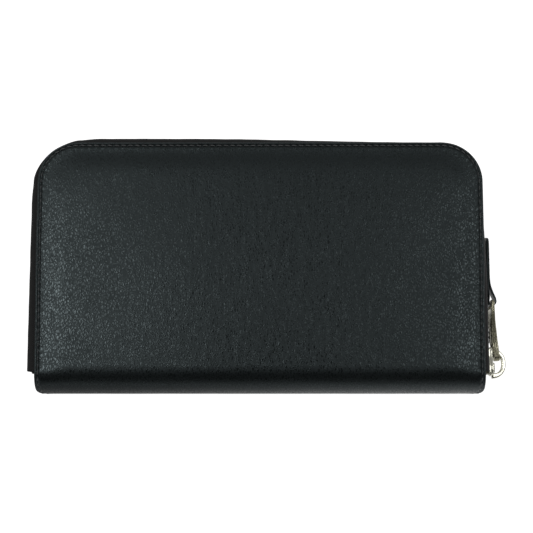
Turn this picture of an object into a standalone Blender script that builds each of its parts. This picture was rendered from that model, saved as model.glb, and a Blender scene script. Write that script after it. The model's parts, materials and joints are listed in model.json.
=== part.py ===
"""Zip-around long wallet, closed, lying on its front cover.

Metres, +Z up. X runs along the wallet, Y from the fold (-Y) to the long side of the zip (+Y), and Z
through its thickness. The origin is the middle of the front cover's outer face, which the wallet
rests on. Pieces of the front half are written once, and the back half is their mirror image in the
middle plane.
"""

import math
from types import SimpleNamespace

import bmesh
import bpy

# Covers
COVER_LENGTH = 0.188  # along X
COVER_TOP = 0.053  # Y of the long edge that the zip follows
COVER_CORNER = 0.017  # radius of the two corners at the zip
FOLD_Y = -0.044  # where each cover meets the spine, and the fold's hinge lines
SPINE_RADIUS = 0.008  # of the leather that wraps the fold

# Sheet thicknesses, from the outer face inwards
LEATHER = 0.0011
BOARD = 0.0006
LINING = 0.0005
CARD_LEATHER = 0.0004
COIN_LEATHER = 0.0006
FIT = 0.0003  # gap between pieces that touch
STEP = 0.0001  # between faces of one piece that would otherwise lie in one plane

# Spaces that the wallet is used for
BILL_SPACE = 0.0043
COIN_SPACE = 0.0044
CARD_TIERS = 3
CARD_STEP = 0.011  # each further tier's mouth is this much lower

# How far each inner piece stays inside the cover's edge, at the ends and at the zip's long side
BOARD_INSET = 0.009
LINING_INSET = 0.003
SPINE_INSET = 0.002
SPINE_LINING_INSET = 0.004
CARD_INSET = 0.005
CARD_TOP_INSET = 0.016  # mouth of the tier nearest the lining
CARD_RISE = 0.002  # foot of the tiers above the fold line
GUSSET_INSET = 0.003
GUSSET_TOP_INSET = 0.032
COIN_INSET = 0.006
COIN_TOP_INSET = 0.0305

GUSSET_LEAF = 0.012
GUSSET_THICKNESS = 0.0005
COIN_BAND = 0.001

# Outer zip
OUTER_ZIP = SimpleNamespace(
    reach_right=0.0016,  # of the tape's wall beyond the cover's edge, on each side
    reach_left=0.0024,
    reach_top=0.0018,
    flange=0.007,  # width of tape sewn under the cover
    tape=0.0005,
    tooth_depth=0.0026,
    tooth_across=0.0015,
    tooth_length=0.0012,
    pitch=0.0021,
    rows_apart=0.0010,
    stop_length=0.0022,
    end_clear=0.0030,  # plain tape between the stop and the tape's lower end
)

# Coin zip
COIN_ZIP = SimpleNamespace(
    end_inset=0.004,  # of the tapes from the panels' ends
    tape=0.0004,
    leg=0.0026,  # height of the tape above the panel's edge
    tooth_depth=0.0017,
    tooth_across=0.0010,
    tooth_length=0.0012,
    pitch=0.0021,
    rows_apart=0.0006,
    end_clear=0.002,
)

# Sliders: x along the zip towards the closed teeth, y across it, z outwards
OUTER_SLIDER = SimpleNamespace(
    length=0.0122,
    plate=0.0010,
    inner_tail=0.0064,  # widths across the zip
    inner_nose=0.0080,
    outer_tail=0.0066,
    outer_nose=0.0086,
    flange=0.0008,
    tooth_clearance=0.00035,
    tape_clearance=0.00035,
    post_length=0.0030,
    post_clearance=0.00025,
    crown_radius=0.0055,
    crown_bar=0.0014,
    crown_width=0.0024,
    start=0.0046,  # of the slider's middle past the tape's lower end, when the zip is closed
)
COIN_SLIDER = SimpleNamespace(
    length=0.0090,
    plate=0.0008,
    inner_tail=0.0042,
    inner_nose=0.0042,
    outer_tail=0.0046,
    outer_nose=0.0062,
    flange=0.0005,
    tooth_clearance=0.00035,
    tape_clearance=0.00025,
    post_length=0.0022,
    post_clearance=0.00015,
    crown_radius=0.0040,
    crown_bar=0.0011,
    crown_width=0.0018,
    start=0.012,  # of the slider's middle from the tapes' right end, when the pocket is closed
)

# Pullers: x along the puller from its swing axis
OUTER_PULLER = SimpleNamespace(
    pivot_along=0.0012,  # of the swing axis from the crown's centre
    pivot_out=0.0022,
    thickness=0.0013,
    bar=0.0015,  # eye bar under the crown
    eye_length=0.0055,
    eye_clearance=0.0005,
    arm=0.0013,
    slot_length=0.0020,
    slot_side=0.0013,
    tip_bar=0.0013,
    tip_axis=0.02425,  # middle of the bar that the leather tab is folded round
    lean=math.radians(3.7),
)
COIN_PULLER = SimpleNamespace(
    pivot_along=0.0008,
    pivot_out=0.0015,
    thickness=0.0010,
    bar=0.0011,
    eye_length=0.0046,
    eye_clearance=0.0004,
    arm=0.0010,
    slot_length=0.0022,
    slot_width=0.0015,  # of the plain hole near the tip
    slot_side=0.0015,
    tip_bar=0.0014,
    tip_axis=0.0143,
    lean=math.radians(8),
)
TAB = SimpleNamespace(
    width=0.007,
    leather=0.0008,  # one layer
    bar_clearance=0.00023,
    side_clearance=0.0002,
    length=0.028,
    lean=math.radians(-1.6),  # from the puller's own lean
)

ARC_STEPS = 8
QUARTER = math.pi / 2
COVER_HALF = COVER_LENGTH / 2
COIN_HALF = COVER_HALF - COIN_INSET
COIN_TOP = COVER_TOP - COIN_TOP_INSET
COIN_ZIP_HALF = COIN_HALF - COIN_ZIP.end_inset
COIN_ZIP_Y = COIN_TOP + FIT + COIN_ZIP.leg + COIN_ZIP.tape / 2  # middle of its lips and teeth
COIN_SLIDER_X = COIN_ZIP_HALF - COIN_SLIDER.start
MIDDLE = (
    LEATHER + BOARD + LINING + CARD_TIERS * CARD_LEATHER + (3 + CARD_TIERS - 1) * FIT
    + BILL_SPACE + COIN_LEATHER + COIN_SPACE / 2
)
THICKNESS = 2 * MIDDLE

COLOURS = {
    "leather": ((0.012, 0.012, 0.013), 0.38, 0.0),
    "edge_leather": ((0.016, 0.016, 0.017), 0.45, 0.0),
    "board": ((0.30, 0.26, 0.20), 0.9, 0.0),
    "lining": ((0.020, 0.020, 0.022), 0.75, 0.0),
    "tape": ((0.010, 0.010, 0.011), 0.9, 0.0),
    "teeth": ((0.45, 0.44, 0.40), 0.35, 1.0),
    "metal": ((0.50, 0.49, 0.44), 0.28, 1.0),
}


def collection(name):
    made = bpy.data.collections.new(name)
    bpy.context.scene.collection.children.link(made)
    return made


def material(piece, kind):
    """The piece's own material, in its kind's colour, roughness and metallic value."""
    colour, roughness, metallic = COLOURS[kind]
    made = bpy.data.materials.new(piece.name)
    made.use_nodes = True
    shader = made.node_tree.nodes["Principled BSDF"]
    shader.inputs["Base Color"].default_value = (*colour, 1)
    shader.inputs["Roughness"].default_value = roughness
    shader.inputs["Metallic"].default_value = metallic
    piece.data.materials.append(made)


def arc(centre, radii, first, last, steps=ARC_STEPS):
    """Points on an ellipse's arc, both ends included; angles in radians."""
    return [
        (
            centre[0] + radii[0] * math.cos(first + (last - first) * i / steps),
            centre[1] + radii[1] * math.sin(first + (last - first) * i / steps),
        )
        for i in range(steps + 1)
    ]


def box_outline(x_low, x_high, y_low, y_high):
    return [(x_low, y_low), (x_high, y_low), (x_high, y_high), (x_low, y_high)]


def cover_outline(inset, bottom):
    """A cover's outline pulled in from its edge, with square corners at the fold."""
    end = COVER_HALF - inset
    radius = COVER_CORNER - inset
    top = COVER_TOP - inset
    right = arc((end - radius, top - radius), (radius, radius), 0, QUARTER)
    left = arc((radius - end, top - radius), (radius, radius), QUARTER, 2 * QUARTER)
    return [(-end, bottom), (end, bottom), *right, *left]


def signed_area(loop):
    following = loop[1:] + loop[:1]
    return sum(a[0] * b[1] - b[0] * a[1] for a, b in zip(loop, following)) / 2


def outline_curve(name, loops, closed=True, clockwise=False):
    """A flat curve: an outline and its holes, or one open path. An outline runs anticlockwise and a
    hole clockwise, so that the sides of what is drawn out from them face outwards. A section that is
    swept along a path runs clockwise for the same reason."""
    curve = bpy.data.curves.new(name, "CURVE")
    curve.dimensions = "2D"
    curve.fill_mode = "BOTH" if closed else "NONE"
    for i, loop in enumerate(loops):
        if closed and (signed_area(loop) > 0) == (clockwise or i > 0):
            loop = loop[::-1]
        spline = curve.splines.new("POLY")
        spline.points.add(len(loop) - 1)
        for point, (x, y) in zip(spline.points, loop):
            point.co = (x, y, 0, 1)
        spline.use_cyclic_u = closed
    return curve


def place(name, data, kind, group, location=(0, 0, 0), turn=(0, 0, 0), parent=None):
    piece = bpy.data.objects.new(name, data)
    piece.location = location
    piece.rotation_euler = turn
    piece.parent = parent
    group.objects.link(piece)
    if kind:
        material(piece, kind)
    return piece


def sheet(name, loops, low, high, kind, group):
    """A flat outline in X and Y, from Z low to high."""
    curve = outline_curve(name, loops)
    curve.extrude = (high - low) / 2
    return place(name, curve, kind, group, (0, 0, (low + high) / 2))


def bar_along_x(name, outline, x_low, x_high, kind, group):
    """An outline in Y and Z, drawn out along X."""
    curve = outline_curve(name, [outline])
    curve.extrude = (x_high - x_low) / 2
    turn = (QUARTER, 0, QUARTER)
    return place(name, curve, kind, group, ((x_low + x_high) / 2, 0, 0), turn)


def bar_along_y(name, outline, y_low, y_high, kind, group):
    """An outline in X and Z, drawn out along Y."""
    curve = outline_curve(name, [outline])
    curve.extrude = (y_high - y_low) / 2
    return place(name, curve, kind, group, (0, (y_low + y_high) / 2, 0), (QUARTER, 0, 0))


def half(side, low, high):
    """A Z range given for the front half, or its mirror image for the back."""
    return (low, high) if side == "front" else (THICKNESS - high, THICKNESS - low)


def half_outline(side, points):
    """An outline whose second value is Z, as given or mirrored for the back half."""
    return points if side == "front" else [(a, THICKNESS - z) for a, z in points]


def frame(name, group, location, turn, parent=None):
    empty = bpy.data.objects.new(name, None)
    empty.empty_display_size = 0.004
    empty.location = location
    empty.rotation_euler = turn
    empty.parent = parent
    group.objects.link(empty)
    return empty


def zip_route():
    """The middle of the tape's wall, from the fold up the right side, along the top and down the left
    side, as points with their outward normals."""
    z = OUTER_ZIP
    flat = COVER_HALF - COVER_CORNER
    high = COVER_TOP - COVER_CORNER
    top = COVER_CORNER + z.reach_top
    route = [((COVER_HALF + z.reach_right, FOLD_Y), (1, 0))]
    for centre, reach, first in (
        ((flat, high), COVER_CORNER + z.reach_right, 0),
        ((-flat, high), COVER_CORNER + z.reach_left, QUARTER),
    ):
        for i in range(ARC_STEPS + 1):
            angle = first + QUARTER * i / ARC_STEPS
            point = (centre[0] + reach * math.cos(angle), centre[1] + top * math.sin(angle))
            normal = (math.cos(angle) * top, math.sin(angle) * reach)
            size = math.hypot(*normal)
            route.append((point, (normal[0] / size, normal[1] / size)))
    route.append(((-COVER_HALF - z.reach_left, FOLD_Y), (-1, 0)))
    return route


def route_length(route):
    return sum(math.dist(a[0], b[0]) for a, b in zip(route, route[1:]))


def along(route, distance, out):
    """The point at a distance along the route, moved outwards."""
    for (a, normal_a), (b, normal_b) in zip(route, route[1:]):
        run = math.dist(a, b)
        if distance <= run:
            break
        distance -= run
    t = min(max(distance / run, 0), 1)
    return tuple(
        a[k] + (b[k] - a[k]) * t + (normal_a[k] + (normal_b[k] - normal_a[k]) * t) * out
        for k in (0, 1)
    )


def comb_outline(route, first, count, spec):
    """A row of teeth on its cord: toothed on the outer side, plain on the inner side."""
    tip = spec.tooth_depth / 2
    root = spec.tape / 2
    toothed = []
    for i in range(count):
        start = first + i * spec.pitch
        end = start + spec.tooth_length
        toothed += [along(route, start, root), along(route, start, tip)]
        toothed += [along(route, end, tip), along(route, end, root)]
    plain = [along(route, first, -tip)]
    passed = 0
    for (before, _), (point, normal) in zip(route, route[1:]):
        passed += math.dist(before, point)
        if first < passed < end:
            plain.append((point[0] - normal[0] * tip, point[1] - normal[1] * tip))
    plain.append(along(route, end, -tip))
    return toothed + plain[::-1]


def cover(side, group):
    """Leather, board, lining and card slots of one cover."""
    edge = FOLD_Y + FIT
    name = f"{side}_cover_leather"
    sheet(name, [cover_outline(0, edge)], *half(side, 0, LEATHER), "leather", group)

    level = LEATHER + FIT
    outline = cover_outline(BOARD_INSET, edge + FIT)
    sheet(f"{side}_board", [outline], *half(side, level, level + BOARD), "board", group)

    level += BOARD + FIT
    outline = cover_outline(LINING_INSET, edge + FIT)
    sheet(f"{side}_lining", [outline], *half(side, level, level + LINING), "lining", group)

    level += LINING + FIT
    end = COVER_HALF - CARD_INSET
    for tier in range(CARD_TIERS):
        top = COVER_TOP - CARD_TOP_INSET - tier * CARD_STEP
        outline = box_outline(-end, end, FOLD_Y + CARD_RISE, top)
        name = f"{side}_card_slot_{tier + 1}"
        sheet(name, [outline], *half(side, level, level + CARD_LEATHER), "edge_leather", group)
        level += CARD_LEATHER + FIT


def outer_tape(side, route, group, guides):
    """Tape of one cover: a flange under the leather and a wall that stands up to the teeth."""
    z = OUTER_ZIP
    low = LEATHER + FIT
    high = MIDDLE - z.rows_apart / 2 - z.tooth_across - FIT
    wall = z.tape / 2
    section = [
        (-z.flange, low),
        (wall, low),
        (wall, high),
        (-wall, high),
        (-wall, low + z.tape),
        (-z.flange, low + z.tape),
    ]
    section = half_outline(side, section)
    section = outline_curve(f"{side}_tape_section", [section], clockwise=True)
    profile = place(section.name, section, None, guides)
    profile.hide_render = True
    profile.display_type = "WIRE"
    name = f"{side}_zip_tape"
    path = outline_curve(name, [[point for point, _ in route]], closed=False)
    path.bevel_mode = "OBJECT"
    path.bevel_object = profile
    path.use_fill_caps = True
    place(name, path, "tape", group)


def outer_teeth(side, route, group):
    z = OUTER_ZIP
    low = MIDDLE - z.rows_apart / 2 - z.tooth_across
    first = OUTER_SLIDER.start + OUTER_SLIDER.length / 2 + FIT
    last = route_length(route) - z.end_clear - z.stop_length - FIT
    count = int((last - first) / z.pitch)
    outline = comb_outline(route, first, count, z)
    name = f"{side}_zip_teeth"
    sheet(name, [outline], *half(side, low, low + z.tooth_across), "teeth", group)


def bottom_stop(route, group):
    """Block that closes the zip's left end, on the front tape's edge."""
    z = OUTER_ZIP
    low = MIDDLE - z.rows_apart / 2 - z.tooth_across
    end = route_length(route) - z.end_clear
    corners = [(end - z.stop_length, -1), (end - z.stop_length, 1), (end, 1), (end, -1)]
    outline = [along(route, d, sign * z.tooth_depth / 2) for d, sign in corners]
    sheet("zip_bottom_stop", [outline], low, low + z.tooth_across, "metal", group)


def wrapped_section(inset, thickness):
    """U section round the fold, as Y and Z, this far inside the wallet's outer face."""
    runs = []
    for radius in (SPINE_RADIUS - inset, SPINE_RADIUS - inset - thickness):
        low = arc((FOLD_Y, SPINE_RADIUS), (radius, radius), -QUARTER, -2 * QUARTER)
        runs.append(low + [(y, THICKNESS - z) for y, z in reversed(low)])
    return runs[0] + runs[1][::-1]


def spine(group):
    """Leather and lining that wrap the fold."""
    end = COVER_HALF - SPINE_INSET
    section = wrapped_section(0, LEATHER)
    bar_along_x("spine_leather", section, -end, end, "leather", group)
    end = COVER_HALF - SPINE_LINING_INSET
    section = wrapped_section(LEATHER + FIT, LINING)
    bar_along_x("spine_lining", section, -end, end, "lining", group)


def coin_pocket(group):
    """Two panels joined by a band round three sides, standing in the fold."""
    bottom = FOLD_Y - SPINE_RADIUS + LEATHER + LINING + 2 * FIT
    inner = COIN_SPACE / 2
    outline = box_outline(-COIN_HALF, COIN_HALF, bottom, COIN_TOP)
    for side in ("front", "back"):
        low = MIDDLE - inner - COIN_LEATHER
        name = f"coin_pocket_{side}_panel"
        sheet(name, [outline], *half(side, low, low + COIN_LEATHER), "edge_leather", group)
    x = COIN_HALF
    band = [(-x, COIN_TOP), (-x, bottom), (x, bottom), (x, COIN_TOP)]
    x -= COIN_BAND
    band += [(x, COIN_TOP), (x, bottom + COIN_BAND), (-x, bottom + COIN_BAND), (-x, COIN_TOP)]
    low, high = MIDDLE - inner + FIT, MIDDLE + inner - FIT
    sheet("coin_pocket_band", [band], low, high, "edge_leather", group)


def coin_zip(group):
    """Tapes that stand on the panels' edges and turn in over the pocket, with their teeth."""
    z = COIN_ZIP
    outer = COIN_SPACE / 2 + COIN_LEATHER
    lip = z.rows_apart / 2 + z.tooth_across + FIT
    low = COIN_TOP + FIT
    top = low + z.leg + z.tape
    x = COIN_ZIP_HALF
    toothed = 2 * x - COIN_SLIDER.start - COIN_SLIDER.length / 2 - FIT - z.end_clear
    count = int(toothed / z.pitch)
    route = [((-x, COIN_ZIP_Y), (0, 1)), ((x, COIN_ZIP_Y), (0, 1))]
    for side in ("front", "back"):
        section = [
            (low, MIDDLE - outer),
            (top, MIDDLE - outer),
            (top, MIDDLE - lip),
            (top - z.tape, MIDDLE - lip),
            (top - z.tape, MIDDLE - outer + z.tape),
            (low, MIDDLE - outer + z.tape),
        ]
        section = half_outline(side, section)
        bar_along_x(f"coin_zip_tape_{side}", section, -x, x, "tape", group)
        outline = comb_outline(route, z.end_clear, count, z)
        teeth = MIDDLE - lip + FIT
        level = half(side, teeth, teeth + z.tooth_across)
        sheet(f"coin_zip_teeth_{side}", [outline], *level, "teeth", group)


def gussets(group):
    """Folded leaves between each cover and the coin pocket, at both ends."""
    low = MIDDLE - COIN_SPACE / 2 - COIN_LEATHER - BILL_SPACE + FIT
    high = MIDDLE - COIN_SPACE / 2 - COIN_LEATHER - FIT
    outer = (high - low) / 2
    inner = outer - GUSSET_THICKNESS
    edge = COVER_HALF - GUSSET_INSET
    fold = edge - GUSSET_LEAF + outer
    centre = (fold, (low + high) / 2)
    bend = arc(centre, (outer, outer), -QUARTER, -3 * QUARTER)
    back = arc(centre, (inner, inner), -3 * QUARTER, -QUARTER)
    outline = [(edge, low), *bend, (edge, high)]
    outline += [(edge, high - GUSSET_THICKNESS), *back, (edge, low + GUSSET_THICKNESS)]
    for side in ("front", "back"):
        for end, sign in (("left", -1), ("right", 1)):
            section = [(x * sign, z) for x, z in half_outline(side, outline)]
            name = f"gusset_{side}_{end}"
            top = COVER_TOP - GUSSET_TOP_INSET
            bar_along_y(name, section, FOLD_Y + 2 * FIT, top, "edge_leather", group)


def plate_outline(length, nose, tail):
    """A slider's plate: broad over the nose, narrower over the tail, with cut corners."""
    cut = length / 12
    end = length / 2
    upper = [
        (-end, nose / 2 - cut),
        (-end + cut, nose / 2),
        (-end + 4 * cut, nose / 2),
        (cut, tail / 2),
        (end - cut, tail / 2),
        (end, tail / 2 - cut),
    ]
    return [(x, -y) for x, y in upper] + upper[::-1]


def as_mesh(piece):
    """The piece's curve made a mesh with its caps welded, under the same name and place."""
    bpy.context.view_layer.update()
    solid = piece.evaluated_get(bpy.context.evaluated_depsgraph_get())
    mesh = bpy.data.meshes.new_from_object(solid)
    welded = bmesh.new()
    welded.from_mesh(mesh)
    bmesh.ops.remove_doubles(welded, verts=welded.verts, dist=0.000001)
    bmesh.ops.recalc_face_normals(welded, faces=welded.faces)
    welded.to_mesh(mesh)
    welded.free()
    made = bpy.data.objects.new(piece.name, mesh)
    made.location = piece.location
    made.rotation_euler = piece.rotation_euler
    made.parent = piece.parent
    for group in piece.users_collection:
        group.objects.link(made)
    name = piece.name
    bpy.data.objects.remove(piece)
    made.name = name
    return made


def slab(name, loops, low, high, kind, group, parent):
    """An outline in a frame's own X and Y, from its Z low to high, as a mesh."""
    curve = outline_curve(name, loops)
    curve.extrude = (high - low) / 2
    return as_mesh(place(name, curve, kind, group, (0, 0, (low + high) / 2), parent=parent))


def ribbon(name, loops, width, kind, group, parent):
    """An outline in a frame's own X and Z, as wide as given across the frame's Y."""
    curve = outline_curve(name, loops)
    curve.extrude = width / 2
    return place(name, curve, kind, group, turn=(QUARTER, 0, 0), parent=parent)


def slider(prefix, zip_spec, spec, home, group, guides):
    """Slider body with its two plates, guide flanges and dividing post, and the crown on top.
    Returns the height of the crown's feet."""
    inside = zip_spec.tooth_depth / 2 + spec.tooth_clearance
    outside = inside + spec.plate
    slot = zip_spec.tape / 2 + spec.tape_clearance
    outline = plate_outline(spec.length, spec.outer_nose, spec.outer_tail)
    body = slab(f"{prefix}_body", [outline], inside, outside, "metal", group, home)
    outline = plate_outline(spec.length, spec.inner_nose, spec.inner_tail)
    parts = [slab(f"{prefix}_inner_plate", [outline], -outside, -inside, None, guides, home)]

    end = spec.length / 2
    overlap = spec.plate / 2
    tails = ((spec.outer_tail, 1), (spec.inner_tail, -1))
    for tail, face in tails:
        for sign in (1, -1):
            edge = tail / 2 - STEP
            edges = sorted((sign * edge, sign * (edge - spec.flange)))
            outline = box_outline(-end + overlap, end - overlap, *edges)
            levels = sorted((face * slot, face * (inside + overlap)))
            name = f"{prefix}_flange_{face}_{sign}"
            parts.append(slab(name, [outline], *levels, None, guides, home))

    post = zip_spec.rows_apart / 2 - spec.post_clearance
    start = -end + overlap
    outline = box_outline(start, start + spec.post_length, -post, post)
    reach = inside + overlap
    parts.append(slab(f"{prefix}_post", [outline], -reach, reach, None, guides, home))

    for piece in parts:
        piece.hide_render = True
        piece.display_type = "WIRE"
        joined = body.modifiers.new(piece.name, "BOOLEAN")
        joined.operation = "UNION"
        joined.solver = "MANIFOLD"
        joined.object = piece

    foot = outside + FIT
    outer = arc((0, foot), (spec.crown_radius, spec.crown_radius), 0, math.pi, 12)
    radius = spec.crown_radius - spec.crown_bar
    inner = arc((0, foot), (radius, radius), math.pi, 0, 12)
    ribbon(f"{prefix}_crown", [outer + inner], spec.crown_width, "metal", group, home)
    return foot


def puller(name, spec, slider_spec, slot_width, foot, home, group):
    """Flat puller on its swing axis. Returns the empty on that axis."""
    axis = (spec.pivot_along, 0, foot + spec.pivot_out)
    hinge = frame(f"{name}_axis", group, axis, (0, spec.lean, 0), home)
    eye = slider_spec.crown_width / 2 + spec.eye_clearance
    neck = eye + spec.arm
    head = slot_width / 2 + spec.slot_side
    tip = spec.tip_axis + spec.tip_bar / 2
    slot_end = spec.tip_axis - spec.tip_bar / 2
    slot_start = slot_end - spec.slot_length
    start = -spec.bar / 2
    cut = spec.bar / 3
    upper = [
        (start, neck - cut),
        (start + cut, neck),
        (-start + spec.eye_length, neck),
        (slot_start - spec.arm, head),
        (tip - cut, head),
        (tip, head - cut),
    ]
    outer = [(x, -y) for x, y in upper] + upper[::-1]
    eye_hole = box_outline(-start, -start + spec.eye_length, -eye, eye)
    slot_hole = box_outline(slot_start, slot_end, -slot_width / 2, slot_width / 2)
    level = spec.thickness / 2
    slab(name, [outer, eye_hole, slot_hole], -level, level, "metal", group, hinge)
    return hinge


def leather_tab(hinge, group):
    """Strip of leather folded round the puller's end bar, its two layers sewn together."""
    spec = OUTER_PULLER
    axis = frame("puller_tab_axis", group, (spec.tip_axis, 0, 0), (0, TAB.lean, 0), hinge)
    hole = math.hypot(spec.tip_bar, spec.thickness) / 2 + TAB.bar_clearance
    ring = hole + TAB.leather
    neck = math.asin(TAB.leather / ring)
    loop = arc((0, 0), (ring, ring), neck, 2 * math.pi - neck, 20)
    outline = [*loop, (TAB.length, -TAB.leather), (TAB.length, TAB.leather)]
    inside = arc((0, 0), (hole, hole), 0, 2 * math.pi, 16)[:-1]
    ribbon("puller_leather_tab", [outline, inside], TAB.width, "leather", group, axis)


def main():
    for thing in list(bpy.data.objects):
        bpy.data.objects.remove(thing)
    wallet = collection("long_wallet")
    guides = collection("guides")

    route = zip_route()
    for side in ("front", "back"):
        cover(side, wallet)
        outer_tape(side, route, wallet, guides)
        outer_teeth(side, route, wallet)
    bottom_stop(route, wallet)
    spine(wallet)
    coin_pocket(wallet)
    coin_zip(wallet)
    gussets(wallet)

    along_y = (QUARTER, 0, QUARTER)
    home = (COVER_HALF + OUTER_ZIP.reach_right, FOLD_Y + OUTER_SLIDER.start, MIDDLE)
    outer_home = frame("zip_slider_frame", wallet, home, along_y)
    foot = slider("zip_slider", OUTER_ZIP, OUTER_SLIDER, outer_home, wallet, guides)
    slot = TAB.width + 2 * TAB.side_clearance
    hinge = puller("zip_puller", OUTER_PULLER, OUTER_SLIDER, slot, foot, outer_home, wallet)
    leather_tab(hinge, wallet)

    towards_left = (QUARTER, 0, 2 * QUARTER)
    home = (COIN_SLIDER_X, COIN_ZIP_Y, MIDDLE)
    coin_home = frame("coin_slider_frame", wallet, home, towards_left)
    foot = slider("coin_slider", COIN_ZIP, COIN_SLIDER, coin_home, wallet, guides)
    slot = COIN_PULLER.slot_width
    puller("coin_puller", COIN_PULLER, COIN_SLIDER, slot, foot, coin_home, wallet)


main()
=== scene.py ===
# Long wallet, closed and lying on its front cover: leather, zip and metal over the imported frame
import json
import math
import bmesh
import bpy
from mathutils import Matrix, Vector, noise
from mathutils.geometry import tessellate_polygon


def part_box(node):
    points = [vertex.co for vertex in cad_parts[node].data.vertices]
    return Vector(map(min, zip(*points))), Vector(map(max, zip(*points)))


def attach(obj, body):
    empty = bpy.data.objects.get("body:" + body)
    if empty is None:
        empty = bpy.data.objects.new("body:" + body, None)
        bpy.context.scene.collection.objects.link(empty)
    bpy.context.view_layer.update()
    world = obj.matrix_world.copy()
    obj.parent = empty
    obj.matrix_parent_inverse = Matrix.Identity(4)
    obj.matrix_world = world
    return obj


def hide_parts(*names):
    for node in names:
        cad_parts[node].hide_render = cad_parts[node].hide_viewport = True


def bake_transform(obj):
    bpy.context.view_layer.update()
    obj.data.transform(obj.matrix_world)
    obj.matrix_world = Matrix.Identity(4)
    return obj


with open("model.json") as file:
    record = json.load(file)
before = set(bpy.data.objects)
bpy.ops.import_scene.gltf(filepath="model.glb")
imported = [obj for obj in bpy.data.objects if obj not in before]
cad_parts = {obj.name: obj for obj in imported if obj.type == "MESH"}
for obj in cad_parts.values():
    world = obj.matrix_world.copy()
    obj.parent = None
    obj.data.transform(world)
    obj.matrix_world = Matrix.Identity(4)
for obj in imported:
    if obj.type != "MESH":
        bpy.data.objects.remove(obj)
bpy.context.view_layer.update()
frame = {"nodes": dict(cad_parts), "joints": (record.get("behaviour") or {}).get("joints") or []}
mm = 0.001
quarter = math.pi / 2


def smooth(value):
    value = min(max(value, 0.0), 1.0)
    return value * value * (3 - 2 * value)


def mix(a, b, share):
    return a + (b - a) * share


def ripple(x, y, z, size, seed=0.0):
    # soft rise and fall between -1 and 1, about one wave in this size
    return noise.noise(Vector((x / size + seed, y / size - seed, z / size + 2.7 * seed)))


def heading(line, i):
    # the way an open line runs at this place
    before, after = line[max(i - 1, 0)], line[min(i + 1, len(line) - 1)]
    return Vector((after[0] - before[0], after[1] - before[1])).normalized()


def arcAt(centre, radius, first, sweep, steps):
    turns = [math.radians(first + sweep * i / steps) for i in range(steps + 1)]
    return [(centre[0] + radius * math.cos(turn), centre[1] + radius * math.sin(turn)) for turn in turns]


class Hide:
    # points and faces of one piece; points that fall together are one, and each keeps its place
    # on the flat hide or cloth, which the grain and weave follow
    def __init__(self):
        self.points = []
        self.flats = []
        self.faces = []
        self.kinds = []
        self.found = {}

    def point(self, place, flat=(0.0, 0.0)):
        key = tuple(round(c * 1e7) for c in place)
        if key not in self.found:
            self.found[key] = len(self.points)
            self.points.append(tuple(place))
            self.flats.append(flat)
        return self.found[key]

    def face(self, corners, kind=0):
        kept = [c for i, c in enumerate(corners) if c != corners[i - 1]]
        if len(kept) > 2 and len(set(kept)) == len(kept):
            self.faces.append(kept)
            self.kinds.append(kind)

    def rows(self, rows, kinds=None, closed=False):
        # quads between neighbouring rows of point numbers
        for j in range(len(rows) - 1):
            a, b = rows[j], rows[j + 1]
            for i in range(len(a) - (0 if closed else 1)):
                k = (i + 1) % len(a)
                self.face([a[i], a[k], b[k], b[i]], kinds[j] if kinds else 0)

    def tube(self, rings):
        # closed rings joined up, with both ends shut
        self.rows(rings, closed=True)
        self.face(rings[0])
        self.face(rings[-1])

    def piece(self, name, finishes, slot=None):
        mesh = bpy.data.meshes.new(name)
        mesh.from_pydata(self.points, [], self.faces)
        flat = mesh.uv_layers.new(name="flat")
        for loop in mesh.loops:
            flat.data[loop.index].uv = self.flats[loop.vertex_index]
        for finish in finishes:
            mesh.materials.append(finish)
        mesh.polygons.foreach_set("material_index", self.kinds)
        tidy = bmesh.new()
        tidy.from_mesh(mesh)
        bmesh.ops.recalc_face_normals(tidy, faces=tidy.faces)
        tidy.to_mesh(mesh)
        tidy.free()
        mesh.shade_smooth()
        made = bpy.data.objects.new(name, mesh)
        bpy.context.scene.collection.objects.link(made)
        return made

    def dress(self, name, finish, slot, node, body=None):
        # the finished piece in place of this solid, moving with this body
        made = self.piece(name, [finish], slot)
        if node:
            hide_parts(node)
        if body:
            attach(made, body)
        return made


# shader helpers
def newGroup(name, inputs, outputs):
    # an input without a value of its own is a place; every output is a number but the colour
    group = bpy.data.node_groups.new(name, "ShaderNodeTree")
    kinds = {type(None): "NodeSocketVector", float: "NodeSocketFloat", tuple: "NodeSocketColor"}
    for label, value in inputs.items():
        socket = group.interface.new_socket(label, in_out="INPUT", socket_type=kinds[type(value)])
        if value is not None:
            socket.default_value = value
    for label in outputs:
        kind = "NodeSocketColor" if label == "Colour" else "NodeSocketFloat"
        group.interface.new_socket(label, in_out="OUTPUT", socket_type=kind)
    return group, group.nodes.new("NodeGroupInput").outputs, group.nodes.new("NodeGroupOutput")


def feed(tree, node, links):
    # each named socket takes a link, or a value of its own
    for label, value in links.items():
        if isinstance(value, bpy.types.NodeSocket):
            tree.links.new(value, node.inputs[label])
        else:
            node.inputs[label].default_value = value
    return node


def add(tree, kind, links=None, **values):
    node = tree.nodes.new(kind)
    for label, value in values.items():
        setattr(node, label, value)
    return feed(tree, node, links or {})


def sums(tree, operation, a, b=0.0, c=0.0, clamp=False):
    node = add(tree, "ShaderNodeMath", {0: a, 1: b, 2: c}, operation=operation, use_clamp=clamp)
    return node.outputs[0]


def shift(tree, operation, links):
    return add(tree, "ShaderNodeVectorMath", links, operation=operation).outputs[0]


def spread(tree, value, low, high):
    # a smooth step, from 0 at low to 1 at high
    links = {0: value, 1: low, 2: high, 3: 0.0, 4: 1.0}
    return add(tree, "ShaderNodeMapRange", links, interpolation_type="SMOOTHSTEP").outputs[0]


def blendColours(tree, share, a, b):
    return add(tree, "ShaderNodeMix", {0: share, 6: a, 7: b}, data_type="RGBA").outputs[2]


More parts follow.
